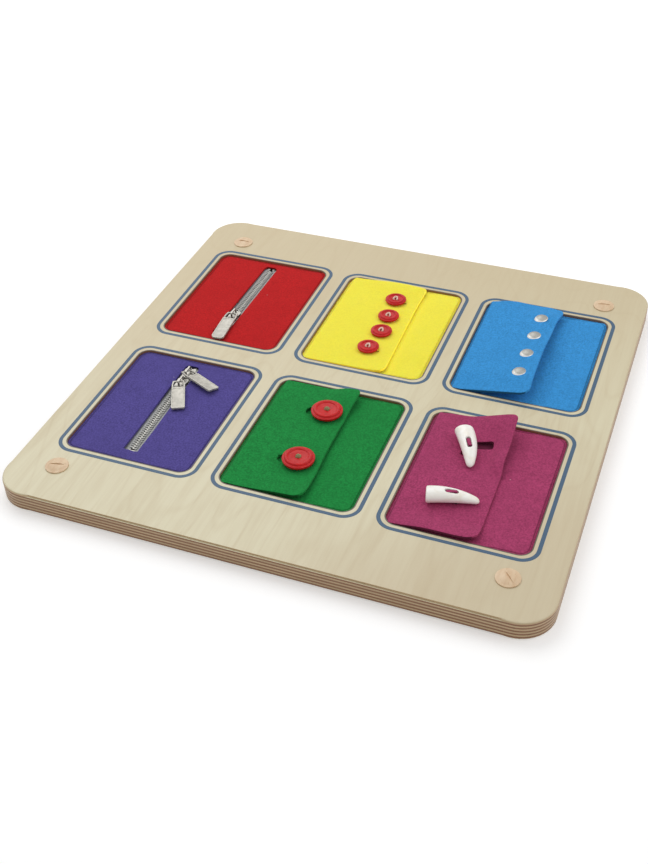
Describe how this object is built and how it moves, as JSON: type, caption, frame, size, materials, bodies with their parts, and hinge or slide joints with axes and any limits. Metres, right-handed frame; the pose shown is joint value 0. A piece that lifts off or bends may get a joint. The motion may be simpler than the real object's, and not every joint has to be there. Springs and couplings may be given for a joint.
{
  "type": "busy board",
  "caption": "Square wooden busy board with felt windows for practising zips, buttons, snap fasteners and toggles, hung by screws under corner caps.",
  "frame": {"origin": "middle of the board at its back face", "axes": "+X from left to right across the front, +Y from the near edge to the far edge, +Z out of the front"},
  "size_m": [0.48, 0.48, 0.0309],
  "materials": {
    "plywood": "satin",
    "beech": "satin",
    "backing": "matte",
    "red_felt": "matte",
    "purple_felt": "matte",
    "yellow_felt": "matte",
    "green_felt": "matte",
    "blue_felt": "matte",
    "magenta_felt": "matte",
    "zip_tape": "matte",
    "nickel": "satin",
    "button_red": "gloss",
    "pale_thread": "matte",
    "olive_thread": "matte",
    "ivory": "satin",
    "steel": "satin"
  },
  "bodies": {
    "board": {"front_board": "plywood", "back_panel": "backing", "back_screws": "steel", "red_felt": "red_felt", "purple_felt": "purple_felt", "yellow_felt": "yellow_felt", "green_felt": "green_felt", "blue_felt": "blue_felt", "magenta_felt": "magenta_felt", "red_zip_tape": "zip_tape", "red_zip_teeth": "nickel", "red_zip_stops": "nickel", "purple_zip_tape": "zip_tape", "purple_zip_teeth": "nickel", "purple_zip_stops": "nickel", "small_button_shanks": "pale_thread", "big_button_shanks": "olive_thread", "snap_studs": "nickel", "snap_posts": "nickel", "toggle_strap_upper": "magenta_felt", "toggle_strap_lower": "magenta_felt"},
    "cap_near_left": {"cap_near_left": "beech"},
    "cap_near_right": {"cap_near_right": "beech"},
    "cap_far_left": {"cap_far_left": "beech"},
    "cap_far_right": {"cap_far_right": "beech"},
    "yellow_flap": {"yellow_flap": "yellow_felt"},
    "green_flap": {"green_flap": "green_felt"},
    "magenta_flap": {"magenta_flap": "magenta_felt"},
    "blue_flap": {"blue_flap": "blue_felt", "snap_caps": "nickel", "snap_sockets": "nickel"},
    "red_zip_slider": {"red_zip_slider": "nickel"},
    "red_zip_pull": {"red_zip_pull": "nickel"},
    "purple_upper_slider": {"purple_upper_slider": "nickel"},
    "purple_upper_pull": {"purple_upper_pull": "nickel"},
    "purple_lower_slider": {"purple_lower_slider": "nickel"},
    "purple_lower_pull": {"purple_lower_pull": "nickel"},
    "small_button_1": {"small_button_1": "button_red", "small_button_thread_1": "pale_thread"},
    "small_button_2": {"small_button_2": "button_red", "small_button_thread_2": "pale_thread"},
    "small_button_3": {"small_button_3": "button_red", "small_button_thread_3": "pale_thread"},
    "small_button_4": {"small_button_4": "button_red", "small_button_thread_4": "pale_thread"},
    "big_button_upper": {"big_button_upper": "button_red", "big_button_thread_upper": "olive_thread"},
    "big_button_lower": {"big_button_lower": "button_red", "big_button_thread_lower": "olive_thread"},
    "toggle_upper": {"toggle_upper": "ivory"},
    "toggle_lower": {"toggle_lower": "ivory"}
  },
  "joints": [
    {"name": "cap_near_left_pull", "type": "slide", "parent": "board", "child": "cap_near_left", "axis": [0, 0, 1], "range_m": [0, 0.014]},
    {"name": "cap_near_right_pull", "type": "slide", "parent": "board", "child": "cap_near_right", "axis": [0, 0, 1], "range_m": [0, 0.014]},
    {"name": "cap_far_left_pull", "type": "slide", "parent": "board", "child": "cap_far_left", "axis": [0, 0, 1], "range_m": [0, 0.014]},
    {"name": "cap_far_right_pull", "type": "slide", "parent": "board", "child": "cap_far_right", "axis": [0, 0, 1], "range_m": [0, 0.014]},
    {"name": "yellow_flap_lift", "type": "hinge", "parent": "board", "child": "yellow_flap", "pos_m": [-0.0603, 0.0945, 0.01775], "axis": [0, -1, 0], "range_deg": [0, 150], "deforming": ["yellow_flap"]},
    {"name": "green_flap_lift", "type": "hinge", "parent": "board", "child": "green_flap", "pos_m": [-0.0603, -0.0945, 0.01775], "axis": [0, -1, 0], "range_deg": [0, 150], "deforming": ["green_flap"]},
    {"name": "magenta_flap_lift", "type": "hinge", "parent": "board", "child": "magenta_flap", "pos_m": [0.0877, -0.0945, 0.01775], "axis": [0, -1, 0], "range_deg": [0, 150], "deforming": ["magenta_flap"]},
    {"name": "blue_flap_lift", "type": "hinge", "parent": "board", "child": "blue_flap", "pos_m": [0.0877, 0.0945, 0.01775], "axis": [0, -1, 0], "range_deg": [-6.9, 130.6], "deforming": ["blue_flap"]},
    {"name": "red_slider_travel", "type": "slide", "parent": "board", "child": "red_zip_slider", "axis": [0.0175, 0.9998, 0], "range_m": [-0.0238, 0.0854]},
    {"name": "purple_upper_slider_travel", "type": "slide", "parent": "board", "child": "purple_upper_slider", "axis": [-0.0105, 0.9999, 0], "range_m": [-0.045, 0.001]},
    {"name": "purple_lower_slider_travel", "type": "slide", "parent": "purple_upper_slider", "child": "purple_lower_slider", "axis": [-0.0105, 0.9999, 0], "range_m": [-0.045, 0]},
    {"name": "red_pull_lift", "type": "hinge", "parent": "red_zip_slider", "child": "red_zip_pull", "pos_m": [-0.15098, 0.0646, 0.019], "axis": [-0.9998, 0.0175, 0], "range_deg": [0, 150]},
    {"name": "purple_upper_pull_lift", "type": "hinge", "parent": "purple_upper_slider", "child": "purple_upper_pull", "pos_m": [-0.15209, -0.03942, 0.019], "axis": [-0.4162, -0.8765, 0.2419], "range_deg": [0, 65]},
    {"name": "purple_lower_pull_lift", "type": "hinge", "parent": "purple_lower_slider", "child": "purple_lower_pull", "pos_m": [-0.15174, -0.05623, 0.019], "axis": [-0.9018, -0.4321, 0], "range_deg": [0, 130]},
    {"name": "small_button_1_turn", "type": "hinge", "parent": "board", "child": "small_button_1", "pos_m": [-0.002, 0.1386, 0.02], "axis": [0, 0, 1], "range_deg": [-45, 45]},
    {"name": "small_button_2_turn", "type": "hinge", "parent": "board", "child": "small_button_2", "pos_m": [0.0003, 0.1082, 0.02], "axis": [0, 0, 1], "range_deg": [-45, 45]},
    {"name": "small_button_3_turn", "type": "hinge", "parent": "board", "child": "small_button_3", "pos_m": [0.0019, 0.081, 0.02], "axis": [0, 0, 1], "range_deg": [-45, 45]},
    {"name": "small_button_4_turn", "type": "hinge", "parent": "board", "child": "small_button_4", "pos_m": [-0.0016, 0.0518, 0.02], "axis": [0, 0, 1], "range_deg": [-45, 45]},
    {"name": "big_button_upper_turn", "type": "hinge", "parent": "board", "child": "big_button_upper", "pos_m": [-0.003, -0.0565, 0.02], "axis": [0, 0, 1], "range_deg": [-45, 45]},
    {"name": "big_button_lower_turn", "type": "hinge", "parent": "board", "child": "big_button_lower", "pos_m": [-0.003, -0.1255, 0.02], "axis": [0, 0, 1], "range_deg": [-45, 45]},
    {"name": "toggle_upper_turn", "type": "hinge", "parent": "board", "child": "toggle_upper", "pos_m": [0.1286, -0.0653, 0.02], "axis": [0, 0, 1], "range_deg": [-90, 90], "deforming": ["toggle_strap_upper"]},
    {"name": "toggle_lower_turn", "type": "hinge", "parent": "board", "child": "toggle_lower", "pos_m": [0.1331, -0.1283, 0.02], "axis": [0, 0, 1], "range_deg": [-90, 90], "deforming": ["toggle_strap_lower"]}
  ]
}
